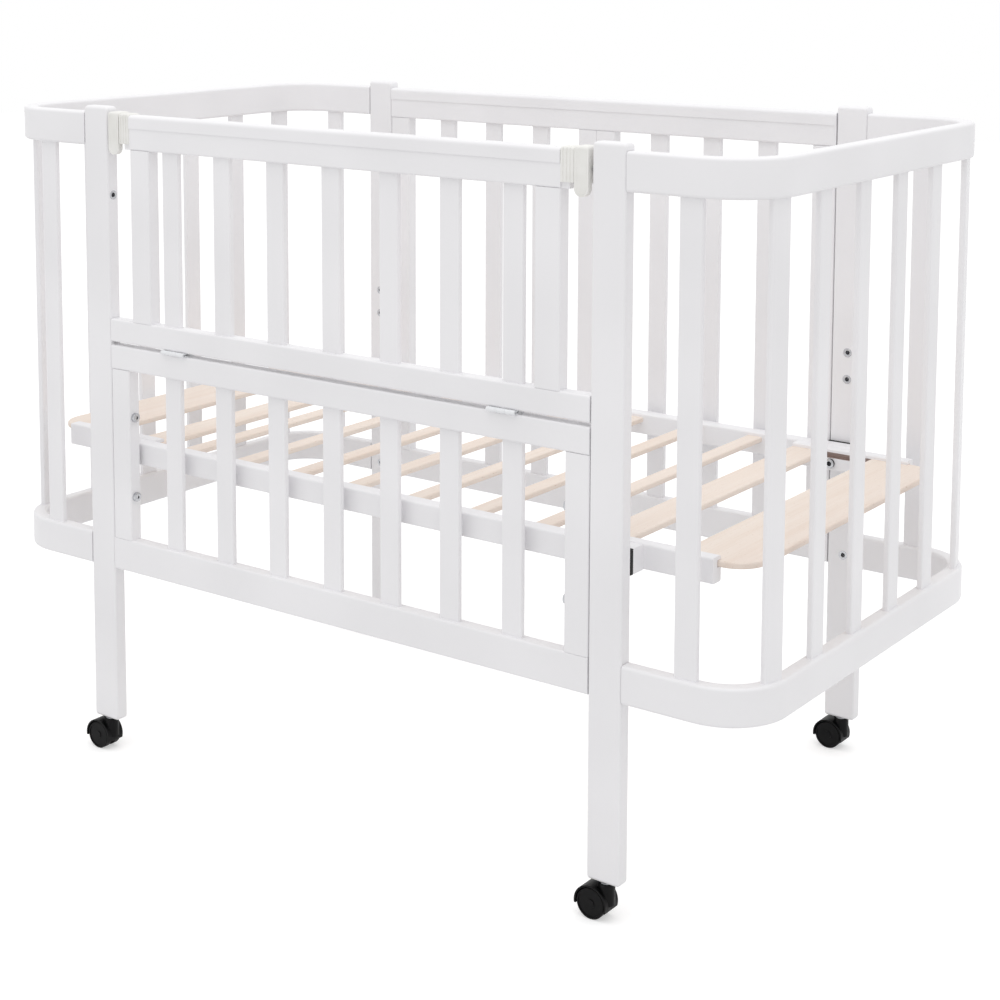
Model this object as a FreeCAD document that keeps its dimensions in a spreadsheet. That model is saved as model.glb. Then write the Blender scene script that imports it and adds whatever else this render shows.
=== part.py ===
"""Bedside sleeper crib: a slatted cot on castors whose front gate folds down over the fixed panel below it.

+X runs along the cot to the right, -Y is the gate side, +Z is up.  The origin is on the floor,
under the middle of the cot.  Lengths are millimetres and angles are degrees.
"""
import FreeCAD, Part
import Sketcher
import math
import os
import re
from FreeCAD import Placement, Rotation, Vector

doc = FreeCAD.newDocument("bedside_crib")
sheet = doc.addObject("Spreadsheet::Sheet", "sizes")
reckoner = doc.addObject("Spreadsheet::Sheet", "reckoner")

# Sizes that can be set by themselves, with what each one is.
SIZES = [
    ("overall_length", 1240, "over the two bent ends"),
    ("overall_width", 654, "over the front and back posts"),
    ("post_span", 891, "over the outer sides of a front pair of posts"),
    ("post_width", 45.5, "post, along the cot"),
    ("post_depth", 20, "post and all the framing, front to back"),
    ("post_length", 886, "post, end to end"),
    ("post_round", 3, "rounding of a post's upright edges"),
    ("post_end_round", 5, "rounding of a post's ends"),
    ("castor_height", 47.5, "floor to the foot of a post"),
    ("end_rail_height", 47, "bent rail, top to bottom"),
    ("end_rail_drop", 9, "top of a post to the top of the upper bent rail"),
    ("end_rail_rise", 226, "foot of a post to the underside of the lower bent rail"),
    ("end_rail_round", 4, "rounding of a bent rail"),
    ("end_rail_gap", 0.6, "between a bent rail's end and the post"),
    ("bend_radius", 80, "outside radius of a bent rail's corner"),
    ("end_slat_pitch", 105.6, "between end slats, along the bent rail's centre line"),
    ("end_slat_count", 8, "slats in one end"),
    ("slat_width", 30, "upright slat, across"),
    ("slat_depth", 8, "upright slat, through"),
    ("slat_round", 2, "eased edges of an upright slat"),
    ("tenon_width", 22, "stub tenon on a slat, across"),
    ("tenon_depth", 5, "stub tenon on a slat, through"),
    ("tenon_length", 8, "stub tenon, into the rail"),
    ("dowel_radius", 4, "dowel between bent rail and post"),
    ("dowel_spacing", 22, "between the two dowels of a joint"),
    ("dowel_in_post", 9, "dowel, into the post"),
    ("dowel_in_rail", 20, "dowel, into the rail"),
    ("fit", 0.05, "radial clearance of dowels, bolts and running pins"),
    ("panel_rise", 227, "foot of a post to the underside of the panels"),
    ("panel_height", 323.5, "front panel, top to bottom"),
    ("panel_bottom_height", 46, "bottom rail of the panels"),
    ("panel_top_height", 34, "top rail of the front panel"),
    ("panel_stile_width", 34, "stile of the front panel"),
    ("panel_gap", 1, "between a panel and a post"),
    ("rail_round", 2.5, "eased edges of rails and stiles"),
    ("front_slat_pitch", 95, "between slats of the front panel and the gate"),
    ("front_slat_count", 7, "slats in the front panel, and in the gate"),
    ("gate_gap", 5, "front panel to gate"),
    ("gate_drop", 9.9, "top of a post to the top of the gate and of the back"),
    ("gate_bottom_height", 32, "bottom rail of the gate"),
    ("gate_top_height", 48, "top rail of the gate and of the back"),
    ("gate_stile_width", 36, "stile of the gate"),
    ("cap_height", 18, "proud upper part of a moulded top rail"),
    ("cap_proud", 1.5, "how far that part stands out, front and back"),
    ("cap_round", 5, "rounding of that part's upper edges"),
    ("back_outer_stile", 36, "stile of a back half panel beside the post"),
    ("back_inner_stile", 32.5, "stile of a back half panel at the seam"),
    ("back_slat_pitch", 90.4, "between slats of a back half panel"),
    ("back_slat_count", 3, "slats in a back half panel"),
    ("base_rise", 376.5, "foot of a post to the underside of the base"),
    ("base_rail_height", 31, "base rail, top to bottom"),
    ("base_rail_depth", 23, "long base rail, front to back"),
    ("base_pad_depth", 5, "pad between post and base rail"),
    ("outrigger_depth", 19, "outrigger, front to back"),
    ("outrigger_start", 365, "inner end of an outrigger, from the middle of the cot"),
    ("outrigger_end", 538.5, "outer end of an outrigger, from the middle of the cot"),
    ("groove_depth", 8, "groove in an outrigger"),
    ("groove_gap", 0.5, "end of a deck board to the bottom of the groove"),
    ("deck_drop", 5, "top of a base rail to the top of the deck"),
    ("deck_depth", 8, "deck slat, top to bottom"),
    ("deck_round", 2.5, "rounded edges of a deck slat"),
    ("deck_slat_width", 24, "narrow deck slat"),
    ("deck_slat_pitch", 100, "between narrow deck slats"),
    ("deck_slat_count", 7, "narrow deck slats"),
    ("deck_slat_shift", -6, "middle of the row of narrow slats, along the cot"),
    ("deck_slat_housing", 11, "end of a narrow slat, into the base rail"),
    ("wide_slat_width", 48, "wide deck slat"),
    ("wide_slat_centre", 387, "middle of a wide slat, from the middle of the cot"),
    ("end_board_start", 484, "inner edge of an end board, from the middle of the cot"),
    ("end_board_width", 98, "end board, along the cot"),
    ("end_board_round", 40, "outer corner of an end board"),
    ("bolt_inset", 21.5, "outer side of a post to the line of the base bolts"),
    ("bolt_radius", 3, "shank of the base and panel bolts"),
    ("bolt_rise", 10.5, "underside of the base to the base bolts"),
    ("bolt_head_radius", 6.5, "head of the base and panel bolts"),
    ("bolt_head_height", 3.5, "head of the base and panel bolts"),
    ("insert_radius", 4.5, "threaded insert, outside"),
    ("insert_length", 12, "threaded insert, into the post"),
    ("spare_rise_low", 242.2, "foot of a post to the lowest spare insert"),
    ("spare_rise_mid", 498.2, "foot of a post to the middle spare insert"),
    ("spare_rise_top", 536.7, "foot of a post to the upper spare insert"),
    ("side_insert_drop", 124.4, "top of a front post to the insert in its inner side"),
    ("panel_bolt_rise", 108, "underside of a panel to its lower bolts"),
    ("panel_bolt_spacing", 114, "between the lower and the upper bolts of a panel"),
    ("panel_bolt_bite", 18, "panel bolt, into the post"),
    ("panel_stud_bite", 24, "headless screw of the back, into the stile"),
    ("hinge_centre", 275, "middle of a hinge, from the middle of the cot"),
    ("hinge_length", 42, "hinge, along the cot"),
    ("knuckle_radius", 3, "hinge knuckle, outside"),
    ("hinge_pin_radius", 1.5, "hinge pin"),
    ("knuckle_gap", 0.3, "between knuckles, and around them"),
    ("leaf_depth", 19, "hinge leaf, front to back, from the pin"),
    ("leaf_thickness", 1.2, "hinge leaf"),
    ("latch_travel", 4, "stroke of a latch bolt"),
    ("latch_gap", 0.5, "around the sliding latch"),
    ("latch_depth", 23, "latch, front to back"),
    ("latch_proud", 3.5, "top of the gate's rail to the top of a thumb piece"),
    ("latch_round", 2, "eased upright edges of a sleeve"),
    ("latch_crown", 4, "rounding of a latch's top"),
    ("sleeve_width", 19.5, "latch sleeve, along the cot"),
    ("sleeve_drop", 1.5, "top of a thumb piece to the top of a sleeve"),
    ("sleeve_rise", 8, "underside of the gate's top rail to the sleeve"),
    ("flute_radius", 1, "flutes down the front of a sleeve"),
    ("flute_pitch", 5, "between flutes"),
    ("thumb_width", 19.5, "thumb piece, along the cot"),
    ("thumb_drop", 8, "underside of the gate's top rail to the foot of the thumb piece"),
    ("thumb_tab_depth", 8, "hanging tab of the thumb piece, front to back"),
    ("thumb_foot_flat", 0.1, "flat left between the two roundings of that tab's foot"),
    ("latch_bolt_rise", 24.5, "underside of the gate's top rail to the latch bolt"),
    ("latch_bolt_radius", 3.5, "latch bolt"),
    ("latch_bolt_tail", 14, "latch bolt, behind the thumb piece"),
    ("rail_spigot_length", 12, "spigot on the gate's top rail, in the sleeve"),
    ("rail_spigot_depth", 15, "that spigot, front to back"),
    ("rail_spigot_height", 36, "that spigot, top to bottom"),
    ("strike_radius", 6, "strike bush in a front post, outside"),
    ("strike_length", 8, "strike bush, into the post"),
    ("strike_gap", 0.4, "latch bolt to the strike bush"),
    ("castor_width", 28.4, "castor, over the hood"),
    ("castor_trail", 15, "stem to axle"),
    ("wheel_radius", 19.5, "castor wheel"),
    ("wheel_inset", 0.6, "hood's side to the wheel's face"),
    ("wheel_gap", 0.6, "wheel to the web"),
    ("wheel_bevel", 1.2, "bevel of a wheel's tread corners"),
    ("wheel_dish", 0.8, "recess in a wheel's face"),
    ("wheel_rim", 3, "rim around that recess"),
    ("wheel_hub", 5.5, "radius of the cap at a wheel's middle"),
    ("hood_gap", 0.8, "wheel to the hood"),
    ("hood_wall", 2.2, "hood"),
    ("hood_tilt", 4, "slope of the hood's lower edge, lower in front"),
    ("hood_below", 5.4, "axle to the hood's lower edge"),
    ("web_width", 5, "web between the wheels"),
    ("axle_radius", 2.5, "castor axle"),
    ("axle_cover", 1.3, "wheel's face to the end of the axle's bore"),
    ("boss_radius", 10.5, "boss around the stem"),
    ("stem_radius", 4, "castor stem"),
    ("stem_seat", 8.5, "stem, into the boss"),
    ("stem_length", 34, "stem, into the post"),
    ("socket_radius", 5.5, "steel socket in the foot of a post, outside"),
    ("socket_length", 38, "that socket, into the post"),
    ("flange_radius", 8.5, "flange of that socket"),
    ("flange_height", 1.2, "flange of that socket"),
    ("swivel_gap", 0.3, "flange to boss"),
    ("cutter_reach", 1, "how far a cutting block stands past what it cuts"),
]

# Sizes that follow from those above.
WORKED_OUT = [
    ("half_length", "overall_length / 2"),
    ("half_width", "overall_width / 2"),
    ("post_out", "post_span / 2"),
    ("post_in", "post_out - post_width"),
    ("post_mid", "post_out - post_width / 2"),
    ("inner_face", "half_width - post_depth"),
    ("frame_mid", "half_width - post_depth / 2"),
    ("post_top", "castor_height + post_length"),
    ("end_rail_start", "post_out + end_rail_gap"),
    ("upper_rail_low", "post_top - end_rail_drop - end_rail_height"),
    ("lower_rail_low", "castor_height + end_rail_rise"),
    ("end_slat_low", "lower_rail_low + end_rail_height"),
    ("bend_inside", "bend_radius - post_depth"),
    ("bend_middle", "bend_radius - post_depth / 2"),
    ("bend_centre_along", "half_length - bend_radius"),
    ("bend_centre_across", "half_width - bend_radius"),
    ("panel_half", "post_in - panel_gap"),
    ("panel_low", "castor_height + panel_rise"),
    ("panel_top", "panel_low + panel_height"),
    ("panel_slat_low", "panel_low + panel_bottom_height"),
    ("panel_slat_high", "panel_top - panel_top_height"),
    ("gate_low", "panel_top + gate_gap"),
    ("gate_top", "post_top - gate_drop"),
    ("gate_slat_low", "gate_low + gate_bottom_height"),
    ("gate_rail_low", "gate_top - gate_top_height"),
    ("gate_half", "post_in - latch_travel - latch_gap - thumb_width - latch_gap - sleeve_width"),
    ("base_low", "castor_height + base_rise"),
    ("base_top", "base_low + base_rail_height"),
    ("base_out", "inner_face - base_pad_depth"),
    ("base_in", "base_out - base_rail_depth"),
    ("outrigger_in", "base_in - outrigger_depth"),
    ("deck_top", "base_top - deck_drop"),
    ("deck_low", "deck_top - deck_depth"),
    ("board_half", "outrigger_in + groove_depth - groove_gap"),
    ("bolt_along", "post_out - bolt_inset"),
    ("bolt_up", "base_low + bolt_rise"),
    ("hinge_across", "half_width + knuckle_radius"),
    ("hinge_up", "panel_top + gate_gap / 2"),
    ("knuckle_length", "hinge_length / 3"),
    ("sleeve_low", "gate_rail_low + sleeve_rise"),
    ("latch_top", "gate_top + latch_proud"),
    ("sleeve_top", "latch_top - sleeve_drop"),
    ("latch_up", "gate_rail_low + latch_bolt_rise"),
    ("sleeve_end", "gate_half + sleeve_width"),
    ("thumb_start", "sleeve_end + latch_gap"),
    ("thumb_end", "thumb_start + thumb_width"),
    ("thumb_low", "gate_rail_low - thumb_drop"),
    ("latch_nose", "post_in - latch_gap"),
    ("axle_up", "wheel_radius"),
    ("hood_radius", "wheel_radius + hood_gap + hood_wall"),
    ("wheel_in", "web_width / 2 + wheel_gap"),
    ("wheel_out", "castor_width / 2 - wheel_inset"),
    ("axle_half", "wheel_out - axle_cover"),
    ("boss_top", "castor_height - flange_height - swivel_gap"),
]

FRONT, BACK = -1, 1
LEFT, RIGHT = -1, 1
SIDE_NAMES = {LEFT: "left", RIGHT: "right"}
DEPTH_NAMES = {FRONT: "front", BACK: "back"}
ALONG, ACROSS, UP = Vector(1, 0, 0), Vector(0, 1, 0), Vector(0, 0, 1)
NEAR = 1e-3  # two places closer than this are one
TURN_TO = {"x": Rotation(ACROSS, 90), "y": Rotation(ALONG, -90), "z": Rotation()}
PARTS = {}


def fill_sheet():
    """Put each size in a row of the sheet: its name, its value or formula, and what it is."""
    rows = [(name, str(size), note) for name, size, note in SIZES]
    rows += [(name, "=" + formula, "worked out") for name, formula in WORKED_OUT]
    for row, (name, content, note) in enumerate(rows, 1):
        sheet.set(f"A{row}", name)
        sheet.set(f"B{row}", content)
        sheet.set(f"C{row}", note)
        sheet.setAlias(f"B{row}", name)
    doc.recompute()


KNOWN = {name for name, *_ in SIZES + WORKED_OUT}


def linked(formula):
    """The formula with each size's name pointing at its cell in the sheet."""
    return re.sub(r"[a-z_]+", lambda word: "sizes." + word[0] if word[0] in KNOWN else word[0], str(formula))


def size(name):
    """The present value of one size."""
    return float(sheet.get(name))


def bind(thing, **properties):
    """Tie properties of an object to formulas of the sheet's sizes."""
    for name, formula in properties.items():
        thing.setExpression(name, linked(formula))


def place(thing, low, turn=None):
    """Tie an object's position to three formulas, and turn it."""
    if turn:
        thing.Placement = Placement(Vector(), turn)
    for axis, formula in zip("xyz", low):
        thing.setExpression("Placement.Base." + axis, linked(formula))
    return thing


def finish(name, thing):
    """Make an object a sub-part: its label is its name."""
    thing.Label = name
    PARTS[name] = thing
    return thing


def box(name, low, extent):
    """A block from its lowest corner."""
    thing = doc.addObject("Part::Box", name)
    bind(thing, Length=extent[0], Width=extent[1], Height=extent[2])
    return place(thing, low)


def rod(name, axis, start, radius, length):
    """A round bar from the centre of its first end, along x, y or z."""
    thing = doc.addObject("Part::Cylinder", name)
    bind(thing, Radius=radius, Height=length)
    return place(thing, start, TURN_TO[axis])


def cut(name, base, *tools):
    """The base without the tools."""
    for number, tool in enumerate(tools, 1):
        thing = doc.addObject("Part::Cut", f"{name}_cut_{number}")
        thing.Base = base
        thing.Tool = tool
        base = thing
    return base


def join(name, *pieces):
    """One solid from pieces that meet."""
    thing = doc.addObject("Part::MultiFuse", name + "_joined")
    thing.Shapes = list(pieces)
    thing.Refine = True
    return thing


def group(name, pieces):
    """Like pieces kept as separate solids."""
    thing = doc.addObject("Part::Compound", name + "_set")
    thing.Links = list(pieces)
    return thing


def runs(axis):
    """A test for the edges that run along one axis."""
    return lambda edge: edge.tangentAt(edge.FirstParameter).cross(axis).Length < NEAR


def is_level(edge):
    """Whether an edge lies at one height."""
    return edge.BoundBox.ZLength < NEAR


def eased(name, base, radius, chosen):
    """Round the edges that a test of each edge chooses."""
    doc.recompute()
    reach = size(radius)
    edges = [(number, reach, reach) for number, edge in enumerate(base.Shape.Edges, 1) if chosen(edge)]
    thing = doc.addObject("Part::Fillet", name + "_eased")
    thing.Base = base
    thing.Edges = edges
    return thing


def mirrored(side, near, extent):
    """Formula of the low end of a stretch that starts `near` from the middle, on either side of it."""
    return near if side > 0 else f"-({near}) - ({extent})"


def board(name, axis, low, extent, radius="rail_round"):
    """A straight board with its long edges eased."""
    return eased(name, box(name, low, extent), radius, runs(axis))


def outline(body, plane, points):
    """A closed sketch of straight lines on one of a body's own planes, each corner tied to formulas."""
    sketch = body.newObject("Sketcher::SketchObject", body.Name + "_outline")
    support = next(item for item in body.Origin.OriginFeatures if item.Role == plane)
    sketch.AttachmentSupport = [(support, "")]
    sketch.MapMode = "FlatFace"
    spots = [Vector(worked(along), worked(up), 0) for along, up in points]
    count = len(spots)
    for number in range(count):
        sketch.addGeometry(Part.LineSegment(spots[number], spots[(number + 1) % count]), False)
    for number in range(count):
        sketch.addConstraint(Sketcher.Constraint("Coincident", number, 2, (number + 1) % count, 1))
    for number, (along, up) in enumerate(points):
        for kind, formula, spot in (("DistanceX", along, spots[number].x), ("DistanceY", up, spots[number].y)):
            rule = sketch.addConstraint(Sketcher.Constraint(kind, -1, 1, number, 1, spot))
            sketch.setExpression(f"Constraints[{rule}]", linked(formula))
    return sketch


def worked(formula):
    """The present value of a formula of sizes."""
    reckoner.set("A1", "=" + linked(formula))
    reckoner.recompute()
    return float(reckoner.get("A1"))


def padded(name, plane, points, length, both_ways=False):
    """A body whose outline is padded to a length."""
    body = doc.addObject("PartDesign::Body", name + "_body")
    pad = body.newObject("PartDesign::Pad", name + "_pad")
    pad.Profile = outline(body, plane, points)
    pad.Midplane = both_ways
    bind(pad, Length=length)
    doc.recompute()
    return body


def turned(name, plane, axis, points):
    """A body whose outline is revolved about one of its own axes."""
    body = doc.addObject("PartDesign::Body", name + "_body")
    spin = body.newObject("PartDesign::Revolution", name + "_spin")
    spin.Profile = outline(body, plane, points)
    spin.ReferenceAxis = (next(item for item in body.Origin.OriginFeatures if item.Role == axis), [""])
    spin.Angle = 360
    doc.recompute()
    return body


def rounded(body, radius, chosen):
    """Round the edges of a body that a test of each edge chooses."""
    base = body.Tip
    names = [f"Edge{number}" for number, edge in enumerate(base.Shape.Edges, 1) if chosen(edge)]
    fillet = body.newObject("PartDesign::Fillet", body.Name + "_round")
    fillet.Base = (base, names)
    bind(fillet, Radius=radius)
    doc.recompute()
    return body


def upright_at(along, across):
    """A test for the upright edge that stands at one place."""
    spot = Vector(along, across, 0)

    def chosen(edge):
        ends = [vertex.Point for vertex in edge.Vertexes]
        return len(ends) == 2 and all(Vector(end.x, end.y, 0).isEqual(spot, NEAR) for end in ends)
    return chosen


def slat(name, spot, turn, low, high):
    """A flat upright slat between two rails, and the bar that is its two stub tenons.

    The bar runs through the slat into both rails, so it also cuts their mortises.
    """
    def upright(word, width, depth, start, length):
        thing = doc.addObject("Part::Box", f"{name}_{word}")
        bind(thing, Length=width, Width=depth, Height=length)
        centred = Vector(-size(width) / 2, -size(depth) / 2, 0)
        thing.Placement = Placement(Vector(*spot, worked(start)), Rotation(UP, turn))
        thing.Placement = thing.Placement.multiply(Placement(centred, Rotation()))
        return thing

    blade = upright("blade", "slat_width", "slat_depth", low, f"{high} - {low}")
    bar = upright("bar", "tenon_width", "tenon_depth", f"{low} - tenon_length",
                  f"{high} - {low} + 2 * tenon_length")
    return join(name, eased(name, blade, "slat_round", runs(UP)), bar), bar


def slat_row(name, spots, low, high):
    """A row of slats as one sub-part, and the tenon bars that cut its rails."""
    pairs = [slat(f"{name}_{number}", (along, across), turn, low, high)
             for number, (along, across, turn) in enumerate(spots, 1)]
    finish(name, group(name, [pair[0] for pair in pairs]))
    return group(name + "_tenons", [pair[1] for pair in pairs])


def even_spots(count, pitch, centre, across):
    """Places of a straight row of slats, evenly spaced about a centre."""
    return [(centre + (number - (count - 1) / 2) * pitch, across, 0) for number in range(count)]


# Bent ends ---------------------------------------------------------------------------------------

def along_bend(distance, side):
    """The place and turn on a bent rail's centre line, at a distance along it from the end's middle.

    The line runs straight across the end, round a quarter circle and straight along the side.
    """
    straight = size("bend_centre_across")
    radius = size("bend_middle")
    quarter = radius * math.pi / 2
    way = math.copysign(1, distance)
    beyond = abs(distance) - straight
    if beyond <= 0:
        along, across, turn = size("bend_centre_along") + radius, abs(distance), 90
    elif beyond < quarter:
        angle = beyond / radius
        along = size("bend_centre_along") + radius * math.cos(angle)
        across = straight + radius * math.sin(angle)
        turn = 90 + math.degrees(angle)
    else:
        along, across, turn = size("bend_centre_along") - (beyond - quarter), size("frame_mid"), 180
    return side * along, way * across, side * way * turn


def end_slats(side):
    """The slats of one end, evenly spaced along the bent rails."""
    count = int(size("end_slat_count"))
    spots = [along_bend((number - (count - 1) / 2) * size("end_slat_pitch"), side) for number in range(count)]
    return slat_row(f"end_slats_{SIDE_NAMES[side]}", spots, "end_slat_low", "upper_rail_low")


def end_dowels(level):
    """The dowels that hold one pair of bent rails to the posts, at one height."""
    dowels = []
    for side in (LEFT, RIGHT):
        for depth in (FRONT, BACK):
            for half in (-1, 1):
                start = mirrored(side, "post_out - dowel_in_post", "dowel_in_post + dowel_in_rail")
                height = f"{level} + end_rail_height / 2 + {half} * dowel_spacing / 2"
                name = f"dowel_{level}_{SIDE_NAMES[side]}_{DEPTH_NAMES[depth]}_{half + 2}"
                dowels.append(rod(name, "x", (start, f"{depth} * frame_mid", height),
                                  "dowel_radius", "dowel_in_post + dowel_in_rail"))
    return dowels


def bent_rail(name, side, level, cutters):
    """One bent rail: a U whose ends meet two posts, rounded at its corners and eased all along."""
    points = [("end_rail_start", "-half_width"), ("half_length", "-half_width"), ("half_length", "half_width"),
              ("end_rail_start", "half_width"), ("end_rail_start", "inner_face"),
              ("half_length - post_depth", "inner_face"), ("half_length - post_depth", "-inner_face"),
              ("end_rail_start", "-inner_face")]
    body = padded(name, "XY_Plane", points, "end_rail_height")
    for radius, along, across in (("bend_radius", "half_length", "half_width"),
                                  ("bend_inside", "half_length - post_depth", "inner_face")):
        for way in (-1, 1):
            rounded(body, radius, upright_at(worked(along), way * worked(across)))
    start = size("end_rail_start")
    rounded(body, "end_rail_round", lambda edge: is_level(edge) and edge.BoundBox.XMax > start + NEAR)
    place(body, ("0", "0", level), Rotation(UP, 0 if side == RIGHT else 180))
    return finish(name, cut(name, body, *cutters))


# Posts -------------------------------------------------------------------------------------------

def spare_inserts():
    """The threaded inserts in the posts' inner faces: one holds the base, the others are spare heights."""
    heights = ["bolt_up"] + [f"castor_height + spare_rise_{word}" for word in ("low", "mid", "top")]
    blanks, bores = [], []
    for side in (LEFT, RIGHT):
        for depth in (FRONT, BACK):
            for number, height in enumerate(heights):
                name = f"insert_{SIDE_NAMES[side]}_{DEPTH_NAMES[depth]}_{number}"
                low = (f"{side} * bolt_along", mirrored(depth, "inner_face", "insert_length"), height)
                blanks.append(rod(name, "y", low, "insert_radius", "insert_length"))
                bores.append(rod(name + "_bore", "y", low, "bolt_radius + fit", "insert_length"))
        low = (mirrored(side, "post_in", "insert_length"), "-frame_mid", "post_top - side_insert_drop")
        name = f"insert_{SIDE_NAMES[side]}_side"
        blanks.append(rod(name, "x", low, "insert_radius", "insert_length"))
        bores.append(rod(name + "_bore", "x", low, "bolt_radius + fit", "insert_length"))
    blank_set = group("insert_blanks", blanks)
    finish("post_inserts", cut("post_inserts", blank_set, group("insert_bores", bores)))
    return blank_set


def castor_sockets():
    """The flanged steel sockets in the feet of the posts, and the bores they sit in."""
    sockets, seats = [], []
    for side, depth in corners():
        tag = f"{DEPTH_NAMES[depth]}_{SIDE_NAMES[side]}"
        spot = (f"{side} * post_mid", f"{depth} * frame_mid")
        seats.append(rod("socket_seat_" + tag, "z", (*spot, "castor_height"), "socket_radius", "socket_length"))
        flange = rod("socket_flange_" + tag, "z", (*spot, "castor_height - flange_height"),
                     "flange_radius", "flange_height")
        bore = rod("socket_bore_" + tag, "z", (*spot, "castor_height - flange_height"),
                   "stem_radius + fit", "flange_height + stem_length + fit")
        sockets.append(cut("socket_" + tag, join("socket_" + tag, seats[-1], flange), bore))
    finish("castor_sockets", group("castor_sockets", sockets))
    return group("socket_seats", seats)


def corners():
    """The four corners of the frame."""
    return [(side, depth) for depth in (FRONT, BACK) for side in (LEFT, RIGHT)]


def post(side, depth, cutters):
    """One post, rounded on every edge, with its bores."""
    name = f"post_{DEPTH_NAMES[depth]}_{SIDE_NAMES[side]}"
    low = (mirrored(side, "post_in", "post_width"), mirrored(depth, "inner_face", "post_depth"),
           "castor_height")
    blank = eased(name + "_ends", box(name, low, ("post_width", "post_depth", "post_length")),
                  "post_end_round", is_level)
    return finish(name, cut(name, eased(name, blank, "post_round", runs(UP)), *cutters))


def strikes():
    """The bushes in the front posts that the latch bolts slide into."""
    bushes, seats = [], []
    for side in (LEFT, RIGHT):
        tag = SIDE_NAMES[side]
        low = (mirrored(side, "post_in", "strike_length"), "-frame_mid", "latch_up")
        seats.append(rod("strike_seat_" + tag, "x", low, "strike_radius", "strike_length"))
        bore = rod("strike_bore_" + tag, "x", low, "latch_bolt_radius + strike_gap", "strike_length")
        bushes.append(cut("strike_" + tag, seats[-1], bore))
    finish("latch_strikes", group("latch_strikes", bushes))
    return group("strike_seats", seats)


# Panels ------------------------------------------------------------------------------------------

def panel_bolts():
    """The fastenings from the panels' stiles sideways into the posts, and their clearance bores.

    The front panel has bolts with heads.  The back has headless screws, hidden in its stiles.
    """
    bolts, bores = [], []
    for side, depth in corners():
        inner = "panel_half - panel_stile_width" if depth == FRONT else "panel_half - panel_stud_bite"
        length = f"post_in + panel_bolt_bite - ({inner})"
        for number, rise in enumerate(("panel_bolt_rise", "panel_bolt_rise + panel_bolt_spacing")):
            name = f"panel_bolt_{SIDE_NAMES[side]}_{DEPTH_NAMES[depth]}_{number}"
            line = (f"{depth} * frame_mid", f"panel_low + {rise}")
            low = (mirrored(side, inner, length), *line)
            bolt = rod(name + "_shank", "x", low, "bolt_radius", length)
            bores.append(rod(name + "_bore", "x", low, "bolt_radius + fit", length))
            if depth == FRONT:
                head_low = (mirrored(side, f"{inner} - bolt_head_height", "bolt_head_height"), *line)
                head = rod(name + "_head", "x", head_low, "bolt_head_radius", "bolt_head_height")
                bolt = join(name, bolt, head)
            bolts.append(bolt)
    finish("panel_bolts", group("panel_bolts", bolts))
    return group("panel_bolt_bores", bores)


def front_spots():
    """The places of the slats of the front panel, and of the gate above it."""
    return even_spots(int(size("front_slat_count")), size("front_slat_pitch"), 0, -size("frame_mid"))


def front_panel(bolt_bores):
    """The fixed panel under the gate: two rails, two stiles between them, and slats."""
    mortises = slat_row("front_panel_slats", front_spots(), "panel_slat_low", "panel_slat_high")
    for name, low, height in (("front_panel_bottom_rail", "panel_low", "panel_bottom_height"),
                              ("front_panel_top_rail", "panel_slat_high", "panel_top_height")):
        rail = board(name, ALONG, ("-panel_half", "-half_width", low), ("2 * panel_half", "post_depth", height))
        finish(name, cut(name, rail, mortises))
    stiles = []
    for side in (LEFT, RIGHT):
        name = f"front_panel_stile_{SIDE_NAMES[side]}"
        start = mirrored(side, "panel_half - panel_stile_width", "panel_stile_width")
        stile = board(name, UP, (start, "-half_width", "panel_slat_low"),
                      ("panel_stile_width", "post_depth", "panel_slat_high - panel_slat_low"))
        stiles.append(cut(name, stile, bolt_bores))
    finish("front_panel_stiles", group("front_panel_stiles", stiles))


def moulded_rail(name, start, length, across):
    """A top rail whose upper part stands proud, front and back, as a body padded along the cot."""
    half = "post_depth / 2"
    proud = f"{half} + cap_proud"
    step = "gate_top_height - cap_height"
    points = [(f"-{half}", "0"), (half, "0"), (half, step), (proud, step), (proud, "gate_top_height"),
              (f"-({proud})", "gate_top_height"), (f"-({proud})", step), (f"-{half}", step)]
    body = padded(name, "YZ_Plane", points, length)
    top = size("gate_top_height")
    rounded(body, "cap_round", lambda edge: runs(ALONG)(edge) and edge.BoundBox.ZMin > top - NEAR)
    rounded(body, "rail_round", lambda edge: runs(ALONG)(edge) and edge.BoundBox.ZMax < NEAR)
    return place(body, (start, across, "gate_rail_low"))


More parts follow.
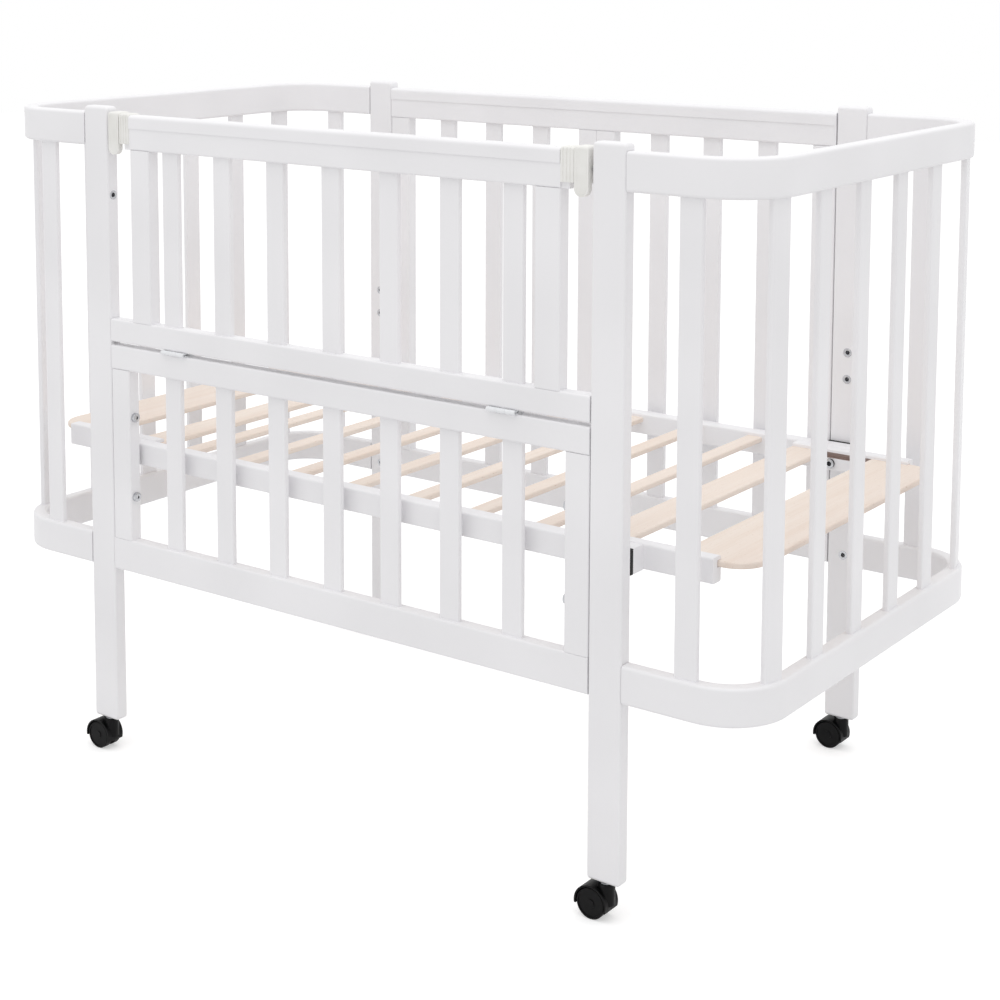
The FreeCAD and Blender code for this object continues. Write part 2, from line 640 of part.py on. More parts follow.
def back_panel(bolt_bores):
    """The back: two half panels that meet at the middle, each with rails, stiles and three slats."""
    bottoms, tops, outers, inners, slats, bars = [], [], [], [], [], []
    rails_low, rails_high = "panel_slat_low", "gate_rail_low"
    height = f"{rails_high} - {rails_low}"
    centre = worked("(back_inner_stile + panel_half - back_outer_stile) / 2")
    for side in (LEFT, RIGHT):
        tag = SIDE_NAMES[side]
        half_low = mirrored(side, "0", "panel_half")
        for number, (along, across, turn) in enumerate(even_spots(
                int(size("back_slat_count")), size("back_slat_pitch"), side * centre, size("frame_mid")), 1):
            blade, bar = slat(f"back_slat_{tag}_{number}", (along, across), turn, rails_low, rails_high)
            slats.append(blade)
            bars.append(bar)
        bottoms.append(board(f"back_bottom_{tag}", ALONG, (half_low, "inner_face", "panel_low"),
                             ("panel_half", "post_depth", "panel_bottom_height")))
        tops.append(moulded_rail(f"back_top_{tag}", half_low, "panel_half", "frame_mid"))
        outer_start = mirrored(side, "panel_half - back_outer_stile", "back_outer_stile")
        outer = board(f"back_outer_{tag}", UP, (outer_start, "inner_face", rails_low),
                      ("back_outer_stile", "post_depth", height))
        outers.append(cut(f"back_outer_{tag}", outer, bolt_bores))
        inners.append(board(f"back_inner_{tag}", UP,
                            (mirrored(side, "0", "back_inner_stile"), "inner_face", rails_low),
                            ("back_inner_stile", "post_depth", height)))
    mortises = group("back_tenons", bars)
    for name, pieces in (("back_bottom_rails", bottoms), ("back_top_rails", tops)):
        finish(name, group(name, [cut(f"{name}_{number}", piece, mortises)
                                  for number, piece in enumerate(pieces, 1)]))
    finish("back_outer_stiles", group("back_outer_stiles", outers))
    finish("back_inner_stiles", group("back_inner_stiles", inners))
    finish("back_slats", group("back_slats", slats))


# Gate --------------------------------------------------------------------------------------------

def gate():
    """The drop gate: a wide bottom rail on the hinges, a shorter moulded top rail, stiles and slats."""
    mortises = slat_row("gate_slats", front_spots(), "gate_slat_low", "gate_rail_low")
    bottom = board("gate_bottom_rail", ALONG, ("-panel_half", "-half_width", "gate_low"),
                   ("2 * panel_half", "post_depth", "gate_bottom_height"))
    finish("gate_bottom_rail", cut("gate_bottom_rail", bottom, mortises))
    for side in (LEFT, RIGHT):
        name = f"gate_stile_{SIDE_NAMES[side]}"
        start = mirrored(side, "gate_half - gate_stile_width", "gate_stile_width")
        finish(name, board(name, UP, (start, "-half_width", "gate_slat_low"),
                           ("gate_stile_width", "post_depth", "gate_rail_low - gate_slat_low")))
    rail = moulded_rail("gate_top_rail", "-gate_half", "2 * gate_half", "-frame_mid")
    spigot = spigots("gate_spigots", "0")
    bores = [latch_bore(side, "bolt_way", "latch_bolt_radius + 2 * fit") for side in (LEFT, RIGHT)]
    whole = join("gate_top_rail", rail, spigot)
    finish("gate_top_rail", cut("gate_top_rail", whole, mortises, *bores))


def spigots(name, room):
    """The two spigots on the ends of the gate's top rail, or the hollows for them."""
    blocks = []
    for side in (LEFT, RIGHT):
        low = (mirrored(side, "gate_half", "rail_spigot_length"),
               f"-frame_mid - rail_spigot_depth / 2 - {room}", "gate_rail_low")
        blocks.append(box(f"{name}_{SIDE_NAMES[side]}", low,
                          ("rail_spigot_length", f"rail_spigot_depth + 2 * {room}", "rail_spigot_height")))
    return group(name, blocks)


def latch_bore(side, name, radius):
    """The hole through a sleeve and spigot that a latch bolt's tail slides in."""
    start = "thumb_start - latch_bolt_tail - latch_gap"
    length = "latch_bolt_tail + 2 * latch_gap"
    low = (mirrored(side, start, length), "-frame_mid", "latch_up")
    return rod(f"{name}_{SIDE_NAMES[side]}", "x", low, radius, length)


# Hinges ------------------------------------------------------------------------------------------

def hinge_leaf(name, centre, knuckles, level, lug_low):
    """A leaf: a plate, and the knuckles that it carries on lugs; `knuckles` gives their thirds."""
    plate_start = "-hinge_across + knuckle_radius + knuckle_gap"
    pieces = [box(name + "_plate", (f"{centre} - hinge_length / 2", plate_start, level),
                  ("hinge_length", "leaf_depth - knuckle_radius - knuckle_gap", "leaf_thickness"))]
    for third in knuckles:
        start = f"{centre} + ({third} - 1.5) * knuckle_length + knuckle_gap / 2"
        length = "knuckle_length - knuckle_gap"
        pieces.append(rod(f"{name}_knuckle_{third}", "x", (start, "-hinge_across", "hinge_up"),
                          "knuckle_radius", length))
        pieces.append(box(f"{name}_lug_{third}", (start, "-hinge_across", lug_low),
                          (length, "knuckle_radius + knuckle_gap", "leaf_thickness")))
    bore = rod(name + "_bore", "x", (f"{centre} - hinge_length / 2", "-hinge_across", "hinge_up"),
               "hinge_pin_radius + fit", "hinge_length")
    return cut(name, join(name, *pieces), bore)


def hinges():
    """Two butt hinges: the lower leaves lie on the fixed panel, the upper leaves under the gate."""
    lower, upper, pins = [], [], []
    for side in (LEFT, RIGHT):
        tag = SIDE_NAMES[side]
        centre = f"{side} * hinge_centre"
        lower.append(hinge_leaf("hinge_lower_" + tag, centre, (0, 2), "panel_top", "panel_top"))
        high = "gate_low - leaf_thickness"
        upper.append(hinge_leaf("hinge_upper_" + tag, centre, (1,), high, high))
        pins.append(rod("hinge_pin_" + tag, "x", (f"{centre} - hinge_length / 2", "-hinge_across", "hinge_up"),
                        "hinge_pin_radius", "hinge_length"))
    finish("hinge_lower_leaves", group("hinge_lower_leaves", lower))
    finish("hinge_upper_leaves", group("hinge_upper_leaves", upper))
    finish("hinge_pins", group("hinge_pins", pins))


# Latches -----------------------------------------------------------------------------------------

def latch_sleeves():
    """The fluted sleeves over the ends of the gate's top rail."""
    hollows = spigots("sleeve_hollows", "0")
    sleeves = []
    for side in (LEFT, RIGHT):
        name = f"sleeve_{SIDE_NAMES[side]}"
        low = (mirrored(side, "gate_half", "sleeve_width"), "-frame_mid - latch_depth / 2", "sleeve_low")
        blank = box(name, low, ("sleeve_width", "latch_depth", "sleeve_top - sleeve_low"))
        blank = eased(name + "_crown", blank, "latch_crown",
                      lambda edge: is_level(edge) and edge.BoundBox.ZMin > size("sleeve_top") - NEAR)
        blank = eased(name, blank, "latch_round", runs(UP))
        flutes = []
        for number in (-1, 0, 1):
            middle = f"{side} * (gate_half + sleeve_width / 2) + {number} * flute_pitch"
            flutes.append(rod(f"{name}_flute_{number + 2}", "z",
                              (middle, "-frame_mid - latch_depth / 2", "sleeve_low"),
                              "flute_radius", "sleeve_top - sleeve_low"))
        bore = latch_bore(side, "sleeve_bore", "latch_bolt_radius + fit")
        sleeves.append(cut(name, blank, *flutes, hollows, bore))
    finish("latch_sleeves", group("latch_sleeves", sleeves))


def latch_slide(side):
    """The sliding half of a latch: a thumb piece with a round-ended hanging tab, and its bolt."""
    tag = SIDE_NAMES[side]
    name = "latch_thumb_" + tag
    half = "thumb_width / 2"
    height = "latch_top - thumb_low"
    points = [(f"-{half}", "0"), (half, "0"), (half, height), (f"-{half}", height)]
    body = padded(name, "XZ_Plane", points, "latch_depth")
    rounded(body, "(thumb_width - thumb_foot_flat) / 2",
            lambda edge: runs(ACROSS)(edge) and edge.BoundBox.ZMax < NEAR)
    top = worked(height)
    rounded(body, "latch_crown", lambda edge: edge.BoundBox.ZMin > top - NEAR)
    place(body, (f"{side} * (thumb_start + {half})", "-frame_mid + latch_depth / 2", "thumb_low"))
    width = "thumb_width + 2 * cutter_reach"
    behind_low = (mirrored(side, "thumb_start - cutter_reach", width),
                  "-frame_mid - latch_depth / 2 + thumb_tab_depth", "thumb_low - cutter_reach")
    behind_height = "sleeve_low - thumb_low + cutter_reach"
    behind = box(name + "_behind", behind_low, (width, "latch_depth", behind_height))
    bolt_start = "thumb_start - latch_bolt_tail"
    bolt_length = "latch_nose - thumb_start + latch_bolt_tail"
    low = (mirrored(side, bolt_start, bolt_length), "-frame_mid", "latch_up")
    seat = rod(name + "_seat", "x", low, "latch_bolt_radius", bolt_length)
    finish(name, cut(name, body, behind, seat))
    finish("latch_bolt_" + tag, rod("latch_bolt_" + tag, "x", low, "latch_bolt_radius", bolt_length))


# Base and deck -----------------------------------------------------------------------------------

def base_bolts():
    """The bolts through outrigger, base rail and pad into the posts' inserts, and their bores."""
    bolts, bores = [], []
    for side, depth in corners():
        name = f"base_bolt_{SIDE_NAMES[side]}_{DEPTH_NAMES[depth]}"
        length = "inner_face + insert_length - outrigger_in"
        low = (f"{side} * bolt_along", mirrored(depth, "outrigger_in", length), "bolt_up")
        shank = rod(name + "_shank", "y", low, "bolt_radius", length)
        bores.append(rod(name + "_bore", "y", low, "bolt_radius + fit", length))
        head_low = (f"{side} * bolt_along",
                    mirrored(depth, "outrigger_in - bolt_head_height", "bolt_head_height"), "bolt_up")
        head = rod(name + "_head", "y", head_low, "bolt_head_radius", "bolt_head_height")
        bolts.append(join(name, shank, head))
    finish("base_bolts", group("base_bolts", bolts))
    return group("base_bolt_bores", bores)


def deck():
    """The slats and boards that carry the mattress, and the narrow slats again as the cutter of housings."""
    half = "base_in + deck_slat_housing"
    spots = even_spots(int(size("deck_slat_count")), 1, 0, 0)
    narrow = [board(f"deck_slat_{number}", ACROSS,
                    (f"deck_slat_shift + {step} * deck_slat_pitch - deck_slat_width / 2",
                     f"-({half})", "deck_low"),
                    ("deck_slat_width", f"2 * ({half})", "deck_depth"), "deck_round")
              for number, (step, _, _) in enumerate(spots, 1)]
    finish("deck_slats", group("deck_slats", narrow))
    wide = [board(f"deck_wide_slat_{SIDE_NAMES[side]}", ACROSS,
                  (f"{side} * wide_slat_centre - wide_slat_width / 2", "-board_half", "deck_low"),
                  ("wide_slat_width", "2 * board_half", "deck_depth"), "deck_round") for side in (LEFT, RIGHT)]
    finish("deck_wide_slats", group("deck_wide_slats", wide))
    ends = []
    for side in (LEFT, RIGHT):
        name = f"deck_end_board_{SIDE_NAMES[side]}"
        points = [("0", "-board_half"), ("end_board_width", "-board_half"),
                  ("end_board_width", "board_half"), ("0", "board_half")]
        body = padded(name, "XY_Plane", points, "deck_depth")
        for way in (-1, 1):
            rounded(body, "end_board_round", upright_at(size("end_board_width"), way * size("board_half")))
        rounded(body, "deck_round", lambda edge: is_level(edge) and edge.BoundBox.YLength > NEAR)
        ends.append(place(body, (f"{side} * end_board_start", "0", "deck_low"),
                          Rotation(UP, 0 if side == RIGHT else 180)))
    finish("deck_end_boards", group("deck_end_boards", ends))
    return PARTS["deck_slats"]


def base(bolt_bores, housings):
    """The base: two long rails, four grooved outriggers bolted inside their ends, and pads to the posts."""
    pads, outriggers = [], []
    for side, depth in corners():
        tag = f"{SIDE_NAMES[side]}_{DEPTH_NAMES[depth]}"
        pad = box(f"base_pad_{tag}", (mirrored(side, "post_in", "post_width"),
                                      mirrored(depth, "base_out", "base_pad_depth"), "base_low"),
                  ("post_width", "base_pad_depth", "base_rail_height"))
        pads.append(cut(f"base_pad_{tag}", pad, bolt_bores))
        length = "outrigger_end - outrigger_start"
        beam = board(f"outrigger_{tag}", ALONG, (mirrored(side, "outrigger_start", length),
                                                 mirrored(depth, "outrigger_in", "outrigger_depth"), "base_low"),
                     (length, "outrigger_depth", "base_rail_height"))
        groove = box(f"groove_{tag}", (mirrored(side, "outrigger_start", length),
                                       mirrored(depth, "outrigger_in", "groove_depth"), "deck_low"),
                     (length, "groove_depth", "deck_depth"))
        outriggers.append(cut(f"outrigger_{tag}", beam, groove, bolt_bores))
    finish("base_pads", group("base_pads", pads))
    finish("base_outriggers", group("base_outriggers", outriggers))
    rails = []
    for depth in (FRONT, BACK):
        name = f"base_rail_{DEPTH_NAMES[depth]}"
        rail = board(name, ALONG, ("-post_out", mirrored(depth, "base_in", "base_rail_depth"), "base_low"),
                     ("2 * post_out", "base_rail_depth", "base_rail_height"))
        rails.append(cut(name, rail, housings, bolt_bores))
    finish("base_rails", group("base_rails", rails))


# Castors -----------------------------------------------------------------------------------------

def castor_wheel(name, spot, way):
    """A moulded wheel with a blind bore, a rim, a shallow dish and a hub cap on its outer face."""
    depth = "wheel_out - wheel_in"
    hole = "axle_radius + fit"
    rim = "wheel_radius - wheel_rim"
    shoulder = "wheel_radius - wheel_bevel"
    points = [(hole, "0"), (shoulder, "0"), ("wheel_radius", "wheel_bevel"),
              ("wheel_radius", f"{depth} - wheel_bevel"), (shoulder, depth), (rim, depth),
              (rim, f"{depth} - wheel_dish"), ("wheel_hub", f"{depth} - wheel_dish"), ("wheel_hub", depth),
              ("0", depth), ("0", "axle_half + fit - wheel_in"), (hole, "axle_half + fit - wheel_in")]
    body = turned(name, "XY_Plane", "Y_Axis", points)
    start = (spot[0], f"{spot[1]} + {way} * wheel_in", "axle_up")
    return finish(name, place(body, start, Rotation(UP, 0 if way > 0 else 180)))


def castor(side, depth):
    """A twin-wheel castor: hood, web and boss in one moulding, its stem and axle, and two wheels."""
    tag = f"{DEPTH_NAMES[depth]}_{SIDE_NAMES[side]}"
    stem = (f"{side} * post_mid", f"{depth} * frame_mid")
    axle = (f"{side} * post_mid - castor_trail", f"{depth} * frame_mid")
    name = "castor_hood_" + tag
    shell = rod(name + "_shell", "y", (axle[0], f"{axle[1]} - castor_width / 2", "axle_up"),
                "hood_radius", "castor_width")
    boss = rod(name + "_boss", "z", (*stem, "axle_up"), "boss_radius", "boss_top - axle_up")
    room = [rod(f"{name}_room_{way + 2}", "y",
                (axle[0], f"{axle[1]} + " + mirrored(way, "web_width / 2", "castor_width"), "axle_up"),
                "wheel_radius + hood_gap", "castor_width") for way in (-1, 1)]
    slope = math.radians(size("hood_tilt"))
    below = box(name + "_below", (f"{axle[0]} - 2 * hood_radius - hood_below * {math.sin(slope)}",
                                  f"{axle[1]} - castor_width", f"axle_up - hood_below - 2 * hood_radius"),
                ("4 * hood_radius", "2 * castor_width", "2 * hood_radius"))
    lower = group(name + "_lower", [below])
    axle_point = Vector(worked(axle[0]), worked(axle[1]), size("axle_up"))
    lower.Placement = Placement(Vector(), Rotation(ACROSS, size("hood_tilt")), axle_point)
    stem_bar = rod(name + "_stem", "z", (*stem, "boss_top - stem_seat"),
                   "stem_radius", "stem_seat + swivel_gap + flange_height + stem_length")
    axle_low = (axle[0], f"{axle[1]} - axle_half", "axle_up")
    axle_bar = rod(name + "_axle", "y", axle_low, "axle_radius", "2 * axle_half")
    hood = cut(name, join(name, shell, boss), *room, lower, stem_bar, axle_bar)
    finish(name, hood)
    finish("castor_pins_" + tag, group("castor_pins_" + tag, [stem_bar, axle_bar]))
    for way, word in ((-1, "front"), (1, "rear")):
        castor_wheel(f"castor_wheel_{tag}_{word}", axle, way)


def build():
    """Make every sub-part."""
    fill_sheet()
    insert_seats = spare_inserts()
    socket_seats = castor_sockets()
    strike_seats = strikes()
    panel_bores = panel_bolts()
    base_bores = base_bolts()
    dowels = end_dowels("lower_rail_low") + end_dowels("upper_rail_low")
    dowel_set = finish("end_rail_dowels", group("end_rail_dowels", dowels))
    for side, depth in corners():
        cutters = [insert_seats, socket_seats, panel_bores, dowel_set]
        if depth == FRONT:
            cutters.append(strike_seats)
        post(side, depth, cutters)
    for side in (LEFT, RIGHT):
        mortises = end_slats(side)
        tag = SIDE_NAMES[side]
        bent_rail("end_rail_upper_" + tag, side, "upper_rail_low", (mortises, dowel_set))
        bent_rail("end_rail_lower_" + tag, side, "lower_rail_low", (mortises, dowel_set))
    front_panel(panel_bores)
    back_panel(panel_bores)
    gate()
    hinges()
    latch_sleeves()
    for side in (LEFT, RIGHT):
        latch_slide(side)
    base(base_bores, deck())
    for side, depth in corners():
        castor(side, depth)
    doc.recompute()


def check():
    """Stop if any object failed or any sub-part is not a sound shape."""
    for thing in doc.Objects:
        if "Invalid" in thing.State or "Error" in thing.State:
            raise RuntimeError(f"{thing.Name} failed: {thing.State}")
    for name, thing in PARTS.items():
        if thing.Shape.isNull() or not thing.Shape.isValid() or not thing.Shape.Solids:
            raise RuntimeError(f"{name} has no sound shape")


def write():
    """Write each sub-part to its own file."""
    os.makedirs("parts", exist_ok=True)
    for name, thing in PARTS.items():
        thing.Shape.exportStep(f"parts/{name}.step")
    print(len(PARTS), "sub-parts written")


build()
check()
write()
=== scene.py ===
"""Looks of a bedside sleeper crib: lacquer, beech, nylon and steel, the small fittings, and a plain studio.

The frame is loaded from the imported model.  Lengths are metres, +X runs along the cot, -Y is the gate side.
"""
import math

import bpy
import numpy as np
from mathutils import Matrix, Vector


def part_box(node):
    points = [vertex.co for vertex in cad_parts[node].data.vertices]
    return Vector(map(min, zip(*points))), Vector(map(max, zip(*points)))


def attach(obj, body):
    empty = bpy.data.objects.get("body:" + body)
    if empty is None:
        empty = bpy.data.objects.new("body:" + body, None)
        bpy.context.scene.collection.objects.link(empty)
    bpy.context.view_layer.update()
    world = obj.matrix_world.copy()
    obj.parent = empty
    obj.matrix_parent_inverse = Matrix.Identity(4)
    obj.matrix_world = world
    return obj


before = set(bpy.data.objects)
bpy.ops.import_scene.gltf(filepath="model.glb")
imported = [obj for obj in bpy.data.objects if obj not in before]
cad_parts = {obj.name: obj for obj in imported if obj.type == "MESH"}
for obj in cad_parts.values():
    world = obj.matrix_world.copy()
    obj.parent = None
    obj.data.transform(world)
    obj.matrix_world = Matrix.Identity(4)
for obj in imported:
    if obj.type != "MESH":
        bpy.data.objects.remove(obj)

bl_info = {
    "name": "Bedside crib",
    "version": (1, 0, 0),
    "blender": (4, 5, 0),
    "location": "View3D > Sidebar > Crib",
    "description": "Finishes, small fittings and studio for a slatted bedside crib",
    "category": "Object",
}

MM = 0.001
SIDES = {"left": -1, "right": 1}
DEPTHS = {"front": -1, "back": 1}


# Colour and nodes --------------------------------------------------------------------------------

def channels(colour):
    """The red, green and blue levels, 0 to 255, of an sRGB hex value such as #F2F1F3."""
    return np.array([int(colour[place:place + 2], 16) for place in (1, 3, 5)])


def linear(colour):
    """An sRGB hex value as linear RGBA, by the curve of the sRGB standard."""
    part = channels(colour) / 255
    part = np.where(part <= 0.04045, part / 12.92, ((part + 0.055) / 1.055) ** 2.4)
    return (*part.tolist(), 1.0)


def darker(colour, levels):
    """The hex value of a colour that many levels darker."""
    return "#%02X%02X%02X" % tuple(np.maximum(channels(colour) - levels, 0).tolist())


def add_node(tree, kind, links=None, **settings):
    """Adds a node, sets its properties, and fills its sockets with numbers or with other nodes' outputs."""
    node = tree.nodes.new(kind)
    for name, value in settings.items():
        setattr(node, name, value)
    for socket, value in (links or {}).items():
        if isinstance(value, bpy.types.NodeSocket):
            tree.links.new(value, node.inputs[socket])
        else:
            node.inputs[socket].default_value = value
    return node


def new_material(name, **sockets):
    """An empty material with a Principled shader whose sockets are set: its node tree and the shader."""
    material = bpy.data.materials.new(name)
    material.use_nodes = True
    tree = material.node_tree
    tree.nodes.clear()
    values = {socket.replace("_", " "): value for socket, value in sockets.items()}
    shader = add_node(tree, "ShaderNodeBsdfPrincipled", values)
    add_node(tree, "ShaderNodeOutputMaterial", {"Surface": shader.outputs["BSDF"]})
    return tree, shader


def noise(tree, cell, detail, roughness=0.5):
    """A noise's value from 0 to 1, with cells of that many millimetres: one size, or one for each axis."""
    place = add_node(tree, "ShaderNodeTexCoord").outputs["Object"]
    cells_per_metre = (1 / (np.broadcast_to(cell, 3) * MM)).tolist()
    where = add_node(tree, "ShaderNodeMapping", {"Vector": place, "Scale": cells_per_metre}).outputs["Vector"]
    return add_node(tree, "ShaderNodeTexNoise", {"Vector": where, "Scale": 1.0, "Detail": detail,
                                                 "Roughness": roughness}).outputs["Fac"]


def spread(tree, value, low=0.0, high=1.0, start=0.3, stop=0.7):
    """The value's stretch from start to stop, where most of a noise lies, mapped to low and high."""
    return add_node(tree, "ShaderNodeMapRange", {"Value": value, "From Min": start, "From Max": stop,
                                                 "To Min": low, "To Max": high}).outputs["Result"]


def blended(tree, factor, first, second):
    """A mix of two colours, each a hex value or another node's output."""
    node = add_node(tree, "ShaderNodeMix", data_type="RGBA")
    inputs = [socket for socket in node.inputs if socket.enabled]
    for socket, value in zip(inputs, (factor, first, second)):
        if isinstance(value, str):
            socket.default_value = linear(value)
        else:
            tree.links.new(value, socket)
    return next(socket for socket in node.outputs if socket.enabled)


def compared(tree, value, low, high):
    """1 where the value lies between low and high, and 0 elsewhere."""
    return add_node(tree, "ShaderNodeMath", {0: value, 1: (low + high) / 2, 2: (high - low) / 2},
                    operation="COMPARE").outputs[0]


def finish(tree, shader, colour, rough, *reliefs):
    """Links a surface's colour, its roughness and its reliefs to the shader.

    `rough` is a pattern and the roughness at its two ends.  Each relief is a pattern, its depth in
    millimetres and its strength, and lies over the one before.
    """
    pattern, smoothest, roughest = rough
    tree.links.new(colour, shader.inputs["Base Color"])
    tree.links.new(spread(tree, pattern, smoothest, roughest), shader.inputs["Roughness"])
    under = {}
    for height, depth, strength in reliefs:
        bump = add_node(tree, "ShaderNodeBump", {"Height": height, "Distance": depth * MM,
                                                 "Strength": strength, **under})
        under = {"Normal": bump.outputs["Normal"]}
    tree.links.new(under["Normal"], shader.inputs["Normal"])


# Materials ---------------------------------------------------------------------------------------

# The wood's pores under the lacquer, in millimetres along each axis, for each way that the grain runs.
# A bent rail's grain lies in the plane of its bend.
PORE_LENGTH, PORE_SPACING = 83.3, 3.85
GRAIN = {
    "x": (PORE_LENGTH, PORE_SPACING, PORE_SPACING),
    "z": (PORE_SPACING, PORE_SPACING, PORE_LENGTH),
    "bend": (PORE_LENGTH, PORE_LENGTH, PORE_SPACING),
}


def lacquered_wood(name, pores, colour, groove_shade=None):
    """Sprayed white polyurethane lacquer on beech: satin, even, with the wood's pores just telegraphing.

    The pores are about 4 mm apart here, coarser than real ones so that they show.  The sprayed film also
    has a faint orange peel of about 3 mm.  The last argument changes the colour in the groove, which it
    paints as bare wood darkened with painted shade.
    """
    tree, shader = new_material(name, IOR=1.5)
    fibres = noise(tree, pores, 3.0)
    peel = noise(tree, 3.03, 1.0)
    cloud = noise(tree, 143, 1.0)
    film = blended(tree, spread(tree, cloud), colour, darker(colour, 5))
    # In the groove the colour is bare wood darkened as painted shade.
    seen = groove_shade(tree, film) if groove_shade else film
    finish(tree, shader, seen, (peel, 0.34, 0.46), (fibres, 0.06, 0.5), (peel, 0.03, 0.4))


def shaded_bare_groove(tree, film):
    """Bare beech inside the outriggers' groove for the deck's end boards, darker and greyer than the wood
    itself: painted shade of that recess.

    The groove's faces are told by their place: at the boards' height, and from just behind the beam's
    inner face to just behind the boards' ends.
    """
    low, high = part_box("deck_end_boards")
    face = min(abs(corner[1]) for corner in quarter_box("base_outriggers", 1, 1))
    margin, end_gap = 0.3 * MM, 0.5 * MM
    place = add_node(tree, "ShaderNodeTexCoord").outputs["Object"]
    axes = add_node(tree, "ShaderNodeSeparateXYZ", {"Vector": place}).outputs
    across = add_node(tree, "ShaderNodeMath", {0: axes["Y"]}, operation="ABSOLUTE").outputs[0]
    inside = compared(tree, across, face + margin, high.y + end_gap + margin)
    level = compared(tree, axes["Z"], low.z - margin, high.z + margin)
    both = add_node(tree, "ShaderNodeMath", {0: inside, 1: level}, operation="MULTIPLY").outputs[0]
    fibres = noise(tree, (25, 1.43, 1.43), 3.0)
    # Both colours are bare beech, painted darker and greyer for the shade inside the groove.
    return blended(tree, both, film, blended(tree, fibres, "#C4AFA8", "#A8948D"))


def sealed_beech(name, colour, dark):
    """Planed beech boards and laths under a thin clear seal: pale, with soft fibre lines along them.

    The grain runs across the cot.  Growth bands are about 14 mm apart, fibres about 1.5 mm, and the
    short dark flecks 6 mm long are the rays that beech shows.
    """
    tree, shader = new_material(name, IOR=1.45)
    bands = noise(tree, (14.29, 454.5, 14.29), 3.0, 0.6)
    fibres = noise(tree, (1.538, 71.4, 1.538), 2.0)
    boards = noise(tree, (90.9, 2500, 90.9), 0.0)
    flecks = noise(tree, (1.111, 6.25, 1.111), 1.0)
    warm = blended(tree, spread(tree, boards), colour, "#F2E6DB")
    banded = blended(tree, spread(tree, bands, 0, 0.4, 0.42, 0.78), warm, dark)
    lined = blended(tree, spread(tree, fibres, 0, 0.18, 0.5, 0.8), banded, dark)
    flecked = blended(tree, spread(tree, flecks, 0, 0.4, 0.67, 0.75), lined, "#BE9B7E")
    finish(tree, shader, flecked, (fibres, 0.5, 0.64), (fibres, 0.1, 0.5))


def bare_beech(name):
    """Turned dowels left bare: dry, fuzzy end grain and a little darker than the boards."""
    tree, shader = new_material(name, IOR=1.4)
    fibres = noise(tree, (71.4, 2, 2), 3.0)
    finish(tree, shader, blended(tree, fibres, "#D9BC9C", "#B08F70"), (fibres, 0.7, 0.85), (fibres, 0.2, 0.6))


def moulded_abs(name, colour):
    """Injection-moulded ivory ABS: a fine spark-eroded texture of about 0.6 mm, and a soft sheen."""
    tree, shader = new_material(name, IOR=1.54)
    grit = noise(tree, 0.625, 2.0)
    cloud = noise(tree, 25, 1.0)
    tint = blended(tree, spread(tree, cloud), colour, "#E8E7E3")
    finish(tree, shader, tint, (grit, 0.36, 0.5), (grit, 0.04, 0.5))


def moulded_nylon(name, colour):
    """Injection-moulded black nylon of the castors: dense, and scuffed a little duller in patches.

    Its sheen is kept low, because the moulding's fine texture scatters most of what it reflects.
    """
    tree, shader = new_material(name, IOR=1.53, Specular_IOR_Level=0.12)
    grit = noise(tree, 0.714, 2.0)
    scuffs = noise(tree, 6.25, 4.0, 0.7)
    tint = blended(tree, spread(tree, scuffs, start=0.5, stop=0.75), colour, "#100F11")
    finish(tree, shader, tint, (scuffs, 0.34, 0.5), (grit, 0.05, 0.5))


def rubber_pad_gap_shade(name):
    """Cut black rubber between the posts and the base rails: matte, open-pored, with a faint bloom.  Its
    black also stands in for the deep shadow in that narrow gap, as painted shade.
    """
    tree, shader = new_material(name, IOR=1.5)
    pores = noise(tree, 1.11, 3.0, 0.65)
    finish(tree, shader, blended(tree, pores, "#101011", "#262627"), (pores, 0.7, 0.9), (pores, 0.1, 0.7))


def zinc_steel(name):
    """Bright zinc plate on turned steel: silvery, with fine turning marks and cloudy passivation."""
    tree, shader = new_material(name, Metallic=1.0)
    cloud = noise(tree, 3.85, 2.0)
    marks = noise(tree, 0.385, 1.0)
    finish(tree, shader, blended(tree, cloud, "#D3D4D6", "#A9ABB0"), (cloud, 0.24, 0.4), (marks, 0.02, 0.4))


def black_oxide(name):
    """Oxidised black steel of the base bolts: dark, oily metal that is greyer where tools have rubbed."""
    tree, shader = new_material(name, Metallic=1.0)
    rub = noise(tree, 2.38, 3.0)
    tint = blended(tree, spread(tree, rub, start=0.45, stop=0.8), "#1E1E20", "#4A4A4D")
    finish(tree, shader, tint, (rub, 0.32, 0.5), (rub, 0.03, 0.4))


def white_enamel(name):
    """Stoved white enamel on the pressed steel hinges: glossier and cooler than the lacquer."""
    tree, shader = new_material(name, IOR=1.52)
    runs = noise(tree, 3.33, 1.0)
    finish(tree, shader, blended(tree, runs, "#F3F4F6", "#E6E7EA"), (runs, 0.2, 0.32), (runs, 0.04, 0.4))


def socket_painted_shade(name):
    """Steel at the bottom of a hexagon socket, painted nearly black as the shade where little light reaches
    it.
    """
    tree, shader = new_material(name, Metallic=0.6)
    shade_mottle = noise(tree, 1.11, 2.0)
    finish(tree, shader, blended(tree, shade_mottle, "#08080A", "#1B1B1E"), (shade_mottle, 0.45, 0.65), (shade_mottle, 0.03, 0.4))


